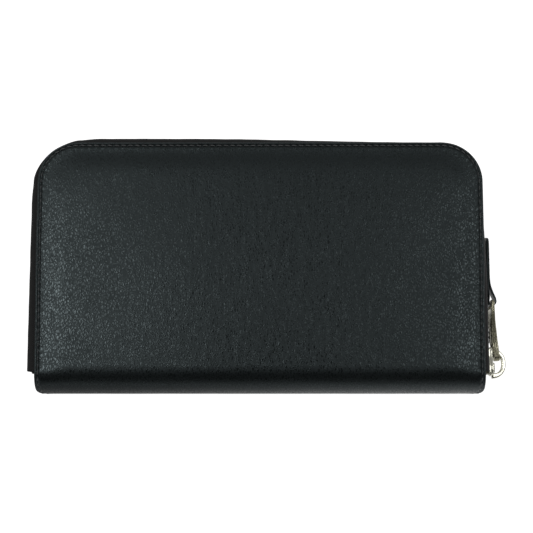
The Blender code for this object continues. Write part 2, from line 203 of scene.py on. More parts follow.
def lumps(tree, place, scale, detail=2.0, **more):
    # soft noise, about this many lumps to a metre
    return add(tree, "ShaderNodeTexNoise", {"Vector": place, "Scale": scale, "Detail": detail, **more}).outputs


def stretched(tree, place, scale, slant=0):
    links = {"Vector": place, "Scale": scale, "Rotation": (0, 0, math.radians(slant))}
    return add(tree, "ShaderNodeMapping", links).outputs[0]


grainShape = {
    "drift": 420.0, "push": 0.0012,  # how often and how far the cells wander off
    "pebbleLong": (1.0, 0.5, 1.0), "wrinkleLong": (1.0, 0.36, 1.0), "wrinkleSlant": -14,
    "dome": 0.28,  # how far a cell rises in from its crease
    "fine": 2.3, "fineShare": 0.35,  # smaller cells over the pebbles
    "ridge": 0.14,
    "patches": 55.0, "patchShare": 0.35, "fleckShare": 0.65,
}


def grainGroup(look):
    # pebbled hide: rounded cells parted by fine creases, with longer wrinkles over them
    inputs = {"Vector": None, "Pebble": 1100.0, "Wrinkle": 260.0, "Wrinkle Share": 0.4}
    group, given, made = newGroup("leatherGrain", inputs, ("Height", "Creases", "Mottle"))
    place, pebble, share = given["Vector"], given["Pebble"], given["Wrinkle Share"]
    centred = shift(group, "SUBTRACT", {0: lumps(group, place, look["drift"])["Color"], 1: (0.5, 0.5, 0.5)})
    push = shift(group, "SCALE", {0: centred, "Scale": look["push"]})
    bent = shift(group, "ADD", {0: place, 1: push})
    tall = stretched(group, bent, look["pebbleLong"])
    cells = add(group, "ShaderNodeTexVoronoi", {"Vector": tall, "Scale": pebble}, feature="DISTANCE_TO_EDGE")
    domes = spread(group, cells.outputs["Distance"], 0.0, look["dome"])
    finer = sums(group, "MULTIPLY", pebble, look["fine"])
    small = add(group, "ShaderNodeTexVoronoi", {"Vector": bent, "Scale": finer})
    fine = sums(group, "SUBTRACT", 1.0, small.outputs["Distance"])
    long = stretched(group, bent, look["wrinkleLong"], look["wrinkleSlant"])
    folds = lumps(group, long, given["Wrinkle"], 5.0, Roughness=0.62, Distortion=0.6)[0]
    ridge = sums(group, "ABSOLUTE", sums(group, "SUBTRACT", folds, 0.5))
    wrinkle = spread(group, ridge, 0.0, look["ridge"])
    grain = sums(group, "MULTIPLY_ADD", fine, look["fineShare"], domes)
    level = sums(group, "MULTIPLY", grain, sums(group, "SUBTRACT", 1.0, share))
    patches = sums(group, "MULTIPLY", lumps(group, place, look["patches"], 4.0)[0], look["patchShare"])
    fleck = spread(group, lumps(group, tall, pebble)[0], 0.36, 0.64)
    feed(group, made, {
        "Height": sums(group, "MULTIPLY_ADD", wrinkle, share, level),
        "Creases": sums(group, "SUBTRACT", 1.0, domes),
        "Mottle": sums(group, "MULTIPLY_ADD", fleck, look["fleckShare"], patches),
    })
    return group


def wearGroup():
    # handling: lighter, ragged patches on raised places, and smudges
    inputs = {"Vector": None, "Spread": 0.5}
    group, given, made = newGroup("edgeWear", inputs, ("Raised", "Smudge"))
    place = given["Vector"]
    bend = add(group, "ShaderNodeNewGeometry").outputs["Pointiness"]
    ragged = spread(group, lumps(group, place, 900.0, 3.0)[0], 0.35, 0.65)
    raised = sums(group, "MULTIPLY", spread(group, bend, 0.51, 0.58), ragged)
    smudge = lumps(group, place, 38.0, 3.0, Distortion=0.8)[0]
    feed(group, made, {
        "Raised": sums(group, "MULTIPLY", raised, given["Spread"]),
        "Smudge": spread(group, smudge, 0.35, 0.68),
    })
    return group


def weaveGroup():
    # twill or herringbone: slanted threads whose slant turns over at each rib
    inputs = {"Vector": None, "Threads": 2200.0, "Rib": 700.0}
    group, given, made = newGroup("threadWeave", inputs, ("Height", "Fuzz"))
    parts = add(group, "ShaderNodeSeparateXYZ", {0: given["Vector"]}).outputs
    ribs = sums(group, "PINGPONG", sums(group, "MULTIPLY", parts[1], given["Rib"]), 1.0)
    slant = sums(group, "ADD", parts[0], sums(group, "DIVIDE", ribs, given["Rib"]))
    wave = sums(group, "SINE", sums(group, "MULTIPLY", slant, given["Threads"]))
    threads = sums(group, "MULTIPLY_ADD", wave, 0.5, 0.5)
    feed(group, made, {
        "Height": sums(group, "MULTIPLY", threads, spread(group, ribs, 0.0, 0.12)),
        "Fuzz": lumps(group, given["Vector"], 3500.0, 3.0)[0],
    })
    return group


platedShape = {
    "stain": 700.0, "lines": 9000.0, "drawn": (1.0, 0.06, 1.0),
    "lineRough": 0.16, "leastRough": 0.14, "darkRough": 0.3, "lineHeight": 0.3,
}


def platedGroup(look):
    # cast and plated metal: tarnish in the hollows, drawn scratches, faint orange peel
    inputs = {"Vector": None, "Bright": (0.8, 0.79, 0.72, 1), "Tarnish": (0.16, 0.15, 0.1, 1), "Age": 0.5}
    group, given, made = newGroup("platedMetal", inputs, ("Colour", "Roughness", "Height"))
    place = given["Vector"]
    hollow = spread(group, add(group, "ShaderNodeNewGeometry").outputs["Pointiness"], 0.505, 0.43)
    stain = lumps(group, place, look["stain"], 5.0)[0]
    aged = sums(group, "MULTIPLY", spread(group, stain, 0.38, 0.66), given["Age"])
    dark = sums(group, "MAXIMUM", hollow, aged, clamp=True)
    lines = lumps(group, stretched(group, place, look["drawn"]), look["lines"])[0]
    rough = sums(group, "MULTIPLY_ADD", lines, look["lineRough"], look["leastRough"])
    feed(group, made, {
        "Colour": blendColours(group, dark, given["Bright"], given["Tarnish"]),
        "Roughness": sums(group, "MULTIPLY_ADD", dark, look["darkRough"], rough),
        "Height": sums(group, "MULTIPLY_ADD", lines, look["lineHeight"], stain),
    })
    return group


grain = grainGroup(grainShape)
wear = wearGroup()
weave = weaveGroup()
plated = platedGroup(platedShape)


def startMaterial(name, coordinates="UV"):
    made = bpy.data.materials.new(name)
    made.use_nodes = True
    tree = made.node_tree
    place = add(tree, "ShaderNodeTexCoord").outputs[coordinates]
    return made, tree, tree.nodes["Principled BSDF"], place


def useGroup(tree, group, links):
    return add(tree, "ShaderNodeGroup", links, node_tree=group).outputs


def surface(tree, shader, colour, rough, height, depth):
    bump = add(tree, "ShaderNodeBump", {"Height": height, "Distance": depth, "Strength": 1.0})
    feed(tree, shader, {"Base Color": colour, "Roughness": rough, "Normal": bump.outputs[0]})


def leatherMaterial(name, look):
    made, tree, shader, place = startMaterial(name)
    skin = useGroup(tree, grain, {"Vector": place, "Pebble": look["pebble"], "Wrinkle": look["wrinkle"],
                                  "Wrinkle Share": look["wrinkleShare"]})
    worn = useGroup(tree, wear, {"Vector": place, "Spread": look["wear"]})
    base = blendColours(tree, skin["Mottle"], look["dark"], look["light"])
    # painted shade: the base colour is darkened in the grain's creases, as if shadowed
    creaseShade = sums(tree, "MULTIPLY", skin["Creases"], look["creaseShadeShare"])
    base = blendColours(tree, creaseShade, base, look["crease"])
    base = blendColours(tree, worn["Raised"], base, look["worn"])
    rough = sums(tree, "MULTIPLY_ADD", skin["Creases"], look["creaseRough"], look["roughness"])
    rough = sums(tree, "MULTIPLY_ADD", worn["Smudge"], look["smudge"], rough)
    shader.inputs["Specular IOR Level"].default_value = look["specular"]
    shader.inputs["Specular Tint"].default_value = look["tint"]
    surface(tree, shader, base, rough, skin["Height"], look["depth"])
    return made


def clothMaterial(name, look):
    made, tree, shader, place = startMaterial(name)
    threads = useGroup(tree, weave, {"Vector": place, "Threads": look["threads"], "Rib": look["rib"]})
    base = blendColours(tree, threads["Height"], look["dark"], look["light"])
    base = blendColours(tree, sums(tree, "MULTIPLY", threads["Fuzz"], 0.4), base, look["light"])
    rough = sums(tree, "MULTIPLY_ADD", threads["Fuzz"], 0.2, look["roughness"])
    shader.inputs["Sheen Weight"].default_value = look["sheen"]
    shader.inputs["Sheen Roughness"].default_value = 0.4
    surface(tree, shader, base, rough, threads["Height"], look["depth"])
    return made


def threadMaterial(name, look):
    made, tree, shader, place = startMaterial(name)
    parts = add(tree, "ShaderNodeSeparateXYZ", {0: place}).outputs
    wound = sums(tree, "MULTIPLY", parts[1], 6.283)
    twist = sums(tree, "MULTIPLY_ADD", parts[0], look["twist"], wound)
    strands = sums(tree, "MULTIPLY_ADD", sums(tree, "SINE", twist), 0.5, 0.5)
    rough = sums(tree, "MULTIPLY_ADD", lumps(tree, place, 4000.0)[0], 0.2, look["roughness"])
    # lighter and darker along the twist; the grey of both colours is painted highlight
    base = blendColours(tree, strands, look["dark"], look["light"])
    surface(tree, shader, base, rough, strands, look["depth"])
    return made


def metalMaterial(name, look):
    made, tree, shader, place = startMaterial(name, "Object")
    metal = useGroup(tree, plated, {"Vector": place, "Bright": look["bright"], "Tarnish": look["tarnish"],
                                    "Age": look["age"]})
    shader.inputs["Metallic"].default_value = 1.0
    surface(tree, shader, metal["Colour"], metal["Roughness"], metal["Height"], look["depth"])
    return made


def boardMaterial(name, look):
    # pressed board: short fibres and specks
    made, tree, shader, place = startMaterial(name, "Object")
    fibres = lumps(tree, stretched(tree, place, look["long"]), look["fibres"], 6.0)[0]
    base = blendColours(tree, fibres, look["dark"], look["light"])
    rough = sums(tree, "MULTIPLY_ADD", fibres, 0.2, look["roughness"])
    surface(tree, shader, base, rough, fibres, look["depth"])
    return made


coverLook = {
    "pebble": 1250.0,  # cells to a metre
    "wrinkle": 400.0,
    "wrinkleShare": 0.6,
    "wear": 0.35,
    "dark": (0.0022, 0.003, 0.003, 1),
    "light": (0.0105, 0.0128, 0.0134, 1),
    # painted shade: the colour that darkens the grain's creases, as if they lay in shadow
    "crease": (0.0015, 0.002, 0.002, 1),
    "creaseShadeShare": 0.8,
    "worn": (0.03, 0.034, 0.034, 1),
    "roughness": 0.18,
    "creaseRough": 0.26,  # how much rougher a crease is
    "smudge": 0.05,
    "specular": 0.5,
    "tint": (0.80, 0.97, 1.0, 1),
    "depth": 0.000036,
}
coverLeather = leatherMaterial("coverCalf", coverLook)
edgePaint = leatherMaterial("paintedEdge", {
    **coverLook, "pebble": 2600.0, "wrinkleShare": 0.2, "depth": 0.000008, "roughness": 0.34,
    "wear": 0.9, "dark": (0.016, 0.019, 0.020, 1), "light": (0.026, 0.030, 0.032, 1),
})
tabLeather = leatherMaterial("tabCalf", {**coverLook, "depth": 0.00002})
cardLeather = leatherMaterial("cardCalf", {
    **coverLook, "pebble": 1900.0, "depth": 0.000025, "roughness": 0.42,
    "dark": (0.009, 0.0095, 0.010, 1), "light": (0.016, 0.0165, 0.017, 1),
})
liningCloth = clothMaterial("liningTwill", {
    "threads": 9000.0, "rib": 60.0, "dark": (0.008, 0.008, 0.009, 1), "light": (0.03, 0.031, 0.034, 1),
    "roughness": 0.62, "sheen": 0.2, "depth": 0.00006,
})
tapeCloth = clothMaterial("zipTapeWeave", {
    "threads": 7500.0, "rib": 620.0, "dark": (0.002, 0.002, 0.0022, 1),
    "light": (0.009, 0.009, 0.0092, 1), "roughness": 0.7, "sheen": 0.02, "depth": 0.00008,
})
# painted highlight: the thread is black; both its colours are raised to grey so the stitches read as if
# catching light
thread = threadMaterial("threadPaintedHighlight", {
    "twist": 9000.0, "dark": (0.06, 0.064, 0.066, 1), "light": (0.2, 0.21, 0.215, 1),
    "roughness": 0.36, "depth": 0.00006,
})
brightMetal = metalMaterial("platedSilver", {
    "bright": (0.80, 0.79, 0.68, 1), "tarnish": (0.30, 0.29, 0.22, 1), "age": 0.15, "depth": 0.000002,
})
agedMetal = metalMaterial("antiqueSilver", {
    "bright": (0.50, 0.48, 0.36, 1), "tarnish": (0.16, 0.15, 0.095, 1), "age": 0.5, "depth": 0.000003,
})
toothMetal = metalMaterial("toothSilver", {
    "bright": (0.80, 0.79, 0.74, 1), "tarnish": (0.2, 0.19, 0.165, 1), "age": 0.3, "depth": 0.000002,
})
pressedBoard = boardMaterial("pressedBoard", {
    "fibres": 2600.0, "long": (0.3, 1.0, 1.0), "dark": (0.20, 0.165, 0.12, 1),
    "light": (0.36, 0.31, 0.24, 1), "roughness": 0.75, "depth": 0.00004,
})
print("materials made")

coverLow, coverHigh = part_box("back_cover_leather")
topFace = coverHigh.z
middle = topFace / 2
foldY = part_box("spine_leather")[1].y  # the hinge line, where the flat cover ends and the fold starts

skin = {
    "thickness": coverHigh.z - coverLow.z,
    "half": coverHigh.x + 0.6 * mm,  # the edge swells past the frame's by its paint
    "taper": 0.6 * mm,  # the hide draws in towards the fold
    "top": coverHigh.y + 0.3 * mm,
    "corner": 17 * mm,
    "roundIn": 4 * mm,  # down to here the rings keep the corner's centre
    "painted": {"outer": 0.5 * mm, "inner": 1 * mm},  # width of the edge paint on each face
    "stitchInset": 1.45 * mm,
    "pitch": 2.9 * mm,
    "pucker": 0.09 * mm,  # rise of the leather between two holes
    "shoulder": 0.75 * mm,  # the board lifts the leather this much, away from the edges
    "shoulderStart": 3 * mm,
    "shoulderEnd": 12 * mm,
    "crown": 0.35 * mm,
    "foldDepth": 9 * mm,  # how far the fold stands out past the hinge line
    "foldPower": 2.3,  # 2 is an ellipse, more is squarer
    "endStart": 8.0 * mm,  # where the fold's ends start to round in, along the leather
    "endIn": 3.2 * mm,
    # inset from the edge, height over the outer face, share of the pucker
    "outer": (
        (0.0, -0.52, 0), (0.05, -0.33, 0), (0.16, -0.16, 0), (0.34, -0.05, 0), (0.58, 0.0, 0),
        (0.82, 0.0, 0), (0.98, -0.1, 0.2), (1.15, -0.3, 0.6), (1.45, -0.4, 1), (1.75, -0.3, 1),
        (2.0, -0.1, 1), (2.25, 0.02, 0.8), (2.6, 0.05, 0.45), (3.0, 0.05, 0.2), (3.8, 0.03, 0),
        *((inset, 0.0, 0) for inset in (5, 6.5, 8, 10, 12.5, 16, 20, 25, 31, 38, 46, 54, 62, 70, 78, 84,
                                        87.5, 90, 92, 93.5)),
    ),
    "inner": (*((inset, 0.0, 0) for inset in (60, 25, 8, 2, 0.5)), (0.2, 0.1, 0), (0.05, 0.26, 0)),
}


def foldTable(depth, height, power, steps=120):
    # a rounded quarter: distance along it, how far out, how far down, and the way it faces
    corners = []
    for i in range(steps + 1):
        turn = quarter * i / steps
        corners.append((depth * math.sin(turn) ** (2 / power), height * (1 - math.cos(turn) ** (2 / power))))
    table = []
    length = 0.0
    for i, (out, down) in enumerate(corners):
        if i:
            length += math.dist(corners[i - 1], corners[i])
        run = heading(corners, i)
        table.append((length, out, down, run.y, run.x))
    return table


foldShape = foldTable(skin["foldDepth"], middle, skin["foldPower"])
foldLength = foldShape[-1][0]
foldEnd = foldY - foldLength


def onFold(distance):
    for a, b in zip(foldShape, foldShape[1:]):
        if distance <= b[0]:
            break
    share = min(max((distance - a[0]) / (b[0] - a[0]), 0), 1)
    return [mix(a[k], b[k], share) for k in range(1, 5)]


def hidePlace(side, x, t, lift):
    # a place on the cover's hide: x along the wallet, t down from the zip and on round the fold
    if t >= foldY:
        y, z = t, topFace + lift
    else:
        out, down, facingOut, facingUp = onFold(foldY - t)
        y = foldY - out - facingOut * lift
        z = topFace - down + facingUp * lift
    return (x, y, z if side == "back" else 2 * middle - z)


def hideHalf(t):
    # half the hide's width, rounded in at the ends of the fold
    half = skin["half"] - skin["taper"] * (1 - smooth((t - foldY + 5 * mm) / (70 * mm)))
    run = (foldY - t - skin["endStart"]) / (foldLength - skin["endStart"])
    if run <= 0:
        return half
    return half - skin["endIn"] * (1 - math.sqrt(1 - 0.97 * min(run, 1) ** 2.2))


def rimPlace(part, share, sign, inset):
    # a place this far inside the hide's edge; share runs up a side, round a corner or along the top
    half, top, corner = skin["half"], skin["top"], skin["corner"]
    near = skin["roundIn"]
    if inset <= near:
        radius = corner - inset
    else:
        radius = (corner - near) * (half - inset) / (half - near)
    if part == "top":
        return mix(-1, 1, share) * (half - inset - radius), top - inset
    if part == "corner":
        turn = quarter * share
        x = half - inset - radius + radius * math.cos(turn)
        return sign * x, top - inset - radius + radius * math.sin(turn)
    # rows stay level round the fold, and draw together above it
    t = mix(foldEnd, top - corner, share)
    level = foldY + 1.5 * mm
    if t > level:
        t = mix(level, top - inset - radius, (t - level) / (top - corner - level))
    return sign * max(hideHalf(t) - inset, 0), t


def hideLift(side, x, t, inset):
    # the board's shoulder, a slight crown, and soft unevenness; the front lies flat on what it rests on
    if side == "front":
        return 0.03 * mm * ripple(x, t, 0, 12 * mm) - 0.05 * mm
    fade = smooth((t - foldY + 6 * mm) / (8 * mm))
    step = smooth((inset - skin["shoulderStart"]) / (skin["shoulderEnd"] - skin["shoulderStart"]))
    crown = (1 - (x / skin["half"]) ** 2) * (1 - ((t - 4 * mm) / (52 * mm)) ** 2)
    uneven = 0.09 * ripple(x, t, 0, 26 * mm) + 0.035 * ripple(x, t, 0, 8 * mm, 4.0)
    uneven *= smooth((inset - 2 * mm) / (6 * mm))
    return fade * (skin["shoulder"] * step + skin["crown"] * max(crown, 0) * step) + uneven * mm


def rimStations():
    # steps along the seam, as part, share and side
    inset = skin["stitchInset"]
    sideRun = skin["top"] - skin["corner"] - foldEnd
    cornerRun = (skin["corner"] - inset) * quarter
    topRun = 2 * (skin["half"] - skin["corner"])
    whole = 2 * (sideRun + cornerRun) + topRun
    stitches = round(whole / skin["pitch"])
    steps = stitchSteps * stitches
    stations = []
    for i in range(steps + 1):
        at = whole * i / steps
        if at <= sideRun:
            stations.append(("side", at / sideRun, -1))
        elif at <= sideRun + cornerRun:
            stations.append(("corner", (at - sideRun) / cornerRun, -1))
        elif at <= sideRun + cornerRun + topRun:
            stations.append(("top", (at - sideRun - cornerRun) / topRun, 1))
        elif at <= whole - sideRun:
            stations.append(("corner", (whole - sideRun - at) / cornerRun, 1))
        else:
            stations.append(("side", (whole - at) / sideRun, 1))
    return stations, stitches


stitchSteps = 6  # places along the seam to a stitch
stations, stitchCount = rimStations()


def coverHide(side):
    # one cover's leather from the zip to the middle of the fold, as one closed sheet
    hide = Hide()
    rings = []
    kinds = []
    for face, listed in (("inner", skin["inner"]), ("outer", skin["outer"])):
        for inset, height, pucker in listed:
            base = -skin["thickness"] if face == "inner" else 0.0
            rings.append((inset * mm, base + height * mm, pucker, face))
    rows = []
    for inset, height, pucker, face in rings:
        row = []
        for i, (part, share, sign) in enumerate(stations):
            x, t = rimPlace(part, share, sign, inset)
            wave = -skin["pucker"] * pucker * math.cos(math.tau * i / stitchSteps)
            lift = height + wave + hideLift(side, x, t, inset)
            row.append(hide.point(hidePlace(side, x, t, lift), (x, t)))
        rows.append(row)
        kinds.append(int(inset < skin["painted"][face]))
    hide.rows(rows, kinds)
    level = sum(part == "side" for part, share, sign in stations) // 2 - 1
    for row in (rows[0], rows[-1]):
        # straight across the middle, from one side's places to the other's
        for i in range(level):
            hide.face([row[i], row[i + 1], row[-2 - i], row[-1 - i]])
        hide.face(row[level:len(row) - level])
    hide.face([row[0] for row in rows] + [row[-1] for row in reversed(rows)])
    return hide


def sewAlong(bank, place, first, last, look):
    # one stitch as a small twisted rope that dives at both ends; place(distance, across, lift)
    rings = []
    for i in range(look["steps"] + 1):
        share = i / look["steps"]
        at = mix(first, last, share)
        swell = math.sin(math.pi * min(max(share, 0.04), 0.96)) ** 0.45
        across = look["slant"] * (share - 0.5)
        lift = look["lift"] - look["dive"] * (1 - swell) ** 1.5
        ring = []
        for k in range(look["sides"]):
            turn = math.tau * k / look["sides"]
            wide = look["width"] / 2 * swell * math.cos(turn)
            high = look["height"] / 2 * swell * math.sin(turn)
            spot = place(at, across + wide, lift + high)
            ring.append(bank.point(spot, (at, k / look["sides"])))
        rings.append(ring)
    bank.tube(rings)


seam = {
    "steps": 7, "sides": 7, "width": 0.62 * mm, "height": 0.42 * mm, "slant": 0.26 * mm,
    "lift": -0.03 * mm, "dive": 0.5 * mm, "share": 0.74,
    "sunk": 0.34 * mm,  # how much deeper the stitches lie down the sides
}


def coverSeam(side):
    bank = Hide()
    steps = len(stations) - 1

    def place(at, across, lift):
        low = min(int(at), steps - 1)
        spots = []
        for station in (stations[low], stations[low + 1]):
            spots.append(rimPlace(*station, skin["stitchInset"] + across))
        x, t = (mix(spots[0][k], spots[1][k], at - low) for k in (0, 1))
        lift -= seam["sunk"] * smooth((skin["top"] - 2 * mm - t) / (12 * mm))
        return hidePlace(side, x, t, lift + hideLift(side, x, t, skin["stitchInset"]))

    for k in range(1, stitchCount - 1):
        half = stitchSteps / 2
        centre = stitchSteps * k + half
        sewAlong(bank, place, centre - half * seam["share"], centre + half * seam["share"], seam)
    return bank


for side in ("back", "front"):
    leather = coverHide(side).piece(f"{side}CoverHide", [coverLeather, edgePaint], "cover_leather")
    stitching = coverSeam(side).piece(f"{side}CoverStitching", [thread], "cover_leather")
    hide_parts(f"{side}_cover_leather")
    for piece in (leather, stitching):
        if side == "back":
            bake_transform(piece)
        else:
            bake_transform(piece)
    if side == "back":
        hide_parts("spine_leather")
    print(f"{side} cover's leather: {len(leather.data.polygons)} faces")

outerZip = {
    "tape": 0.5 * mm,
    "flange": 7 * mm,
    "flangeUp": 10.35 * mm,  # heights from the wallet's middle plane
    "wallUp": 2.6 * mm,
    "bead": 0.42 * mm,
    "beadUp": 2.3 * mm,
    "pitch": 2.1 * mm,
    "bulgeLeft": 1.0 * mm,  # how far the tape bellies out past its wall
    "bulgeTop": 0.85 * mm,
    "bulgeRight": 0.15 * mm,
    "sway": 1.5 * mm,  # the zip draws in at the upper right corner
    "swayLeft": 1.3 * mm,  # and at the upper left
    "outLeft": 0.3 * mm, "outRight": 0.25 * mm,  # elsewhere it stands out a little
    "fineness": 1.1 * mm,  # of the tape's mesh
    "clear": 0.9 * mm,  # from the slider and the stop to the nearest tooth
}
tapeLow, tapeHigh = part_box("back_zip_tape")
wallHalf = outerZip["tape"] / 2
straightX, straightY = coverHigh.x - skin["corner"], coverHigh.y - skin["corner"]


def zipSway(x, y):
    # how far the zip stands out past its even path here, and how far its tape bellies
    right = smooth((x + 30 * mm) / (100 * mm))
    high = smooth((y + 12 * mm) / (55 * mm))
    upper = smooth((y - 28 * mm) / (22 * mm))
    corner = upper * smooth((-x - 68 * mm) / (18 * mm))
    shiftLeft = mix(outerZip["outLeft"], -outerZip["swayLeft"], corner)
    shiftRight = mix(outerZip["outRight"], -outerZip["sway"], high)
    left = mix(outerZip["bulgeLeft"], outerZip["bulgeTop"], smooth((y + 25 * mm) / (60 * mm)))
    bulge = mix(left, mix(outerZip["bulgeRight"], outerZip["bulgeTop"], upper), right)
    return mix(shiftLeft, shiftRight, right), bulge


def zipPath(spacing):
    # from the slider's end of the tape up the right, along the top and down the left, evenly spaced
    reachRight = tapeHigh.x - wallHalf - straightX
    reachLeft = -tapeLow.x - wallHalf - straightX
    reachTop = tapeHigh.y - wallHalf - straightY
    rough = [(straightX + reachRight, mix(tapeLow.y, straightY, i / 60)) for i in range(60)]
    for sign, reach in ((1, reachRight), (-1, reachLeft)):
        for i in range(41):
            turn = quarter * (i / 40 if sign > 0 else 1 - i / 40)
            rough.append((sign * (straightX + reach * math.cos(turn)), straightY + reachTop * math.sin(turn)))
        if sign > 0:
            rough += [(straightX * (1 - i / 50), straightY + reachTop) for i in range(1, 100)]
    rough += [(-straightX - reachLeft, mix(straightY, tapeLow.y, i / 60)) for i in range(1, 61)]
    shifted = []
    for i, (x, y) in enumerate(rough):
        run = heading(rough, i)
        shift, bulge = zipSway(x, y)
        shifted.append((x + run.y * shift, y - run.x * shift, run.y, -run.x, bulge))
    path = []
    passed = 0.0
    wanted = 0.0
    for a, b in zip(shifted, shifted[1:]):
        step = math.dist(a[:2], b[:2])
        while wanted <= passed + step:
            share = (wanted - passed) / step
            path.append([mix(a[k], b[k], share) for k in range(5)])
            wanted += spacing
        passed += step
    path.append(list(shifted[-1]))
    return path, passed


def acrossSide(side, up):
    return middle + up if side == "back" else middle - up


def tapeOutline(reach, bulge, look):
    # the tape's section: sewn flange, belly, wall and the corded edge, as out and up
    start = (-reach - 0.8 * mm, look["flangeUp"])
    pulls = ((0.5 * mm + bulge * 0.5, look["flangeUp"]), (bulge * 1.75, 5.6 * mm), (0, look["wallUp"]))
    line = [(-reach - look["flange"], look["flangeUp"]), (-reach - 3 * mm, look["flangeUp"])]
    for i in range(13):
        t = i / 12
        weights = ((1 - t) ** 3, 3 * t * (1 - t) ** 2, 3 * t * t * (1 - t), t ** 3)
        line.append(tuple(sum(w * p[k] for w, p in zip(weights, (start, *pulls))) for k in (0, 1)))
    half = look["tape"] / 2
    sides = ([], [])
    for i, spot in enumerate(line):
        run = heading(line, i)
        sides[0].append((spot[0] - run.y * half, spot[1] + run.x * half))
        sides[1].append((spot[0] + run.y * half, spot[1] - run.x * half))
    bead = []
    for i in range(9):
        turn = math.radians(mix(50, -230, i / 8))
        bead.append((look["bead"] * math.cos(turn), look["beadUp"] + look["bead"] * math.sin(turn)))
    return sides[0], bead, sides[1]


def outerTape(side):
    cloth = Hide()
    fineness = outerZip["fineness"]
    path, _ = zipPath(fineness)
    rows = []
    for i, (x, y, nx, ny, bulge) in enumerate(path):
        reach = abs(nx) * (abs(x) - coverHigh.x) + abs(ny) * (y - coverHigh.y)
        reach = max(reach, 0.2 * mm)
        outside, bead, inside = tapeOutline(reach, bulge, outerZip)
        outline = inside + bead[::-1] + outside[::-1]
        row = []
        run = 0.0
        for k, (out, up) in enumerate(outline):
            run += math.dist(outline[k - 1], (out, up)) if k else 0
            wave = 0.10 * mm * ripple(i * fineness, up, 0, 7 * mm, 3.0) * smooth((up - 3 * mm) / (3 * mm))
            wave *= smooth((10 * mm - up) / (1.5 * mm))
            spot = (x + nx * (out + wave), y + ny * (out + wave), acrossSide(side, up))
            row.append(cloth.point(spot, (i * fineness, run)))
        rows.append(row)
    cloth.tube(rows)
    return cloth


toothShape = {
    # height over the row's tip plane, half depth across the tape, half length along it
    "sections": (
        (2.62, 0.50, 0.30), (2.50, 0.95, 0.50), (2.20, 1.22, 0.58), (1.55, 1.28, 0.58), (0.75, 1.28, 0.56),
        (0.52, 1.12, 0.50), (0.36, 0.86, 0.40), (0.10, 0.84, 0.37), (-0.06, 0.78, 0.33), (-0.14, 0.50, 0.22),
    ),
    "cut": 0.42,  # share of each side that its corners take
}


def toothAt(bank, spot, normal, side, shape, scale=1.0):
    rings = []
    for up, deep, long in shape["sections"]:
        deep, long, up = deep * mm * scale, long * mm * scale, up * mm * scale
        bevel = shape["cut"] * min(deep, long)
        ring = []
        for a, b in (
            (deep, long - bevel), (deep - bevel, long), (bevel - deep, long), (-deep, long - bevel),
            (-deep, bevel - long), (bevel - deep, -long), (deep - bevel, -long), (deep, bevel - long),
        ):
            x = spot[0] + normal[0] * a - normal[1] * b
            y = spot[1] + normal[1] * a + normal[0] * b
            ring.append(bank.point((x, y, acrossSide(side, up)), (a, up)))
        rings.append(ring)
    bank.tube(rings)


sliderLow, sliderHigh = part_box("zip_slider_body")
stopLow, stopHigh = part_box("zip_bottom_stop")


def outerTeeth(side):
    bank = Hide()
    step = outerZip["pitch"] / 2
    path, length = zipPath(step)
    first = (sliderHigh.y + outerZip["clear"] - tapeLow.y) / step
    last = (length - (stopHigh.y + outerZip["clear"] - tapeLow.y)) / step
    for i in range(math.ceil(first), int(last)):
        if i % 2 == (side == "front"):
            x, y, nx, ny, _ = path[i]
            toothAt(bank, (x, y), (nx, ny), side, toothShape)
    return bank


for side in ("back", "front"):
    outerTape(side).dress(f"{side}ZipTape", tapeCloth, "zip_tape", f"{side}_zip_tape", f"{side}_cover")
    outerTeeth(side).dress(f"{side}ZipTeeth", toothMetal, "zip_teeth", f"{side}_zip_teeth", f"{side}_cover")
print("outer zip: tapes and teeth")


def roundedLoop(corners, radius, steps=4):
    # a closed outline with each corner turned over this radius, or over what its sides allow
    loop = []
    for i, spot in enumerate(corners):
        spot = Vector(spot)
        before, after = Vector(corners[i - 1]) - spot, Vector(corners[(i + 1) % len(corners)]) - spot
        reach = min(radius, before.length * 0.45, after.length * 0.45)
        a, b = spot + before.normalized() * reach, spot + after.normalized() * reach
        for k in range(steps + 1):
            t = k / steps
            loop.append(tuple(a * (1 - t) ** 2 + spot * (2 * t * (1 - t)) + b * t * t))
    return loop


def roundedBox(low, high, radius, steps=4):
    return roundedLoop([low, (high[0], low[1]), high, (low[0], high[1])], radius, steps)


def roundedBar(deep, wide, radius, steps=3):
    return roundedBox((-deep / 2, -wide / 2), (deep / 2, wide / 2), radius, steps)


def mirrored(upper, radius):
    # an outline from its upper half, listed from the start to the tip
    return roundedLoop([(a, -b) for a, b in upper] + upper[::-1], radius)


def intoMetal(loop, inset):
    # the outline moved to its left, which is into the metal for an outline and for a hole
    moved = []
    for i, spot in enumerate(loop):
        before, after = loop[i - 1], loop[(i + 1) % len(loop)]
        run = Vector((after[0] - before[0], after[1] - before[1]))
        run = run.normalized() if run.length else Vector((1, 0))
        moved.append((spot[0] - run.y * inset, spot[1] + run.x * inset))
    return moved


def turned(loop, anticlockwise):
    area = sum(a[0] * b[1] - b[0] * a[1] for a, b in zip(loop, loop[1:] + loop[:1]))
    return loop if (area > 0) == anticlockwise else loop[::-1]


def lofted(bank, loops, levels, place):
    # a plate with holes, drawn up through levels of (share of its thickness, inset); place(a, b, share)
    loops = [turned(loop, i == 0) for i, loop in enumerate(loops)]
    caps = []
    for loop in loops:
        rows = []
        for share, inset in levels:
            spots = intoMetal(loop, inset)
            rows.append([bank.point(place(a, b, share), (a, b)) for a, b in spots])
        bank.rows(rows, closed=True)
        caps.append((rows[0], rows[-1]))
    for end, level in ((0, levels[0]), (1, levels[-1])):
        flat = [[Vector((a, b, 0)) for a, b in intoMetal(loop, level[1])] for loop in loops]
        numbers = [n for cap in caps for n in cap[end]]
        for triangle in tessellate_polygon(flat):
            bank.face([numbers[k] for k in triangle])


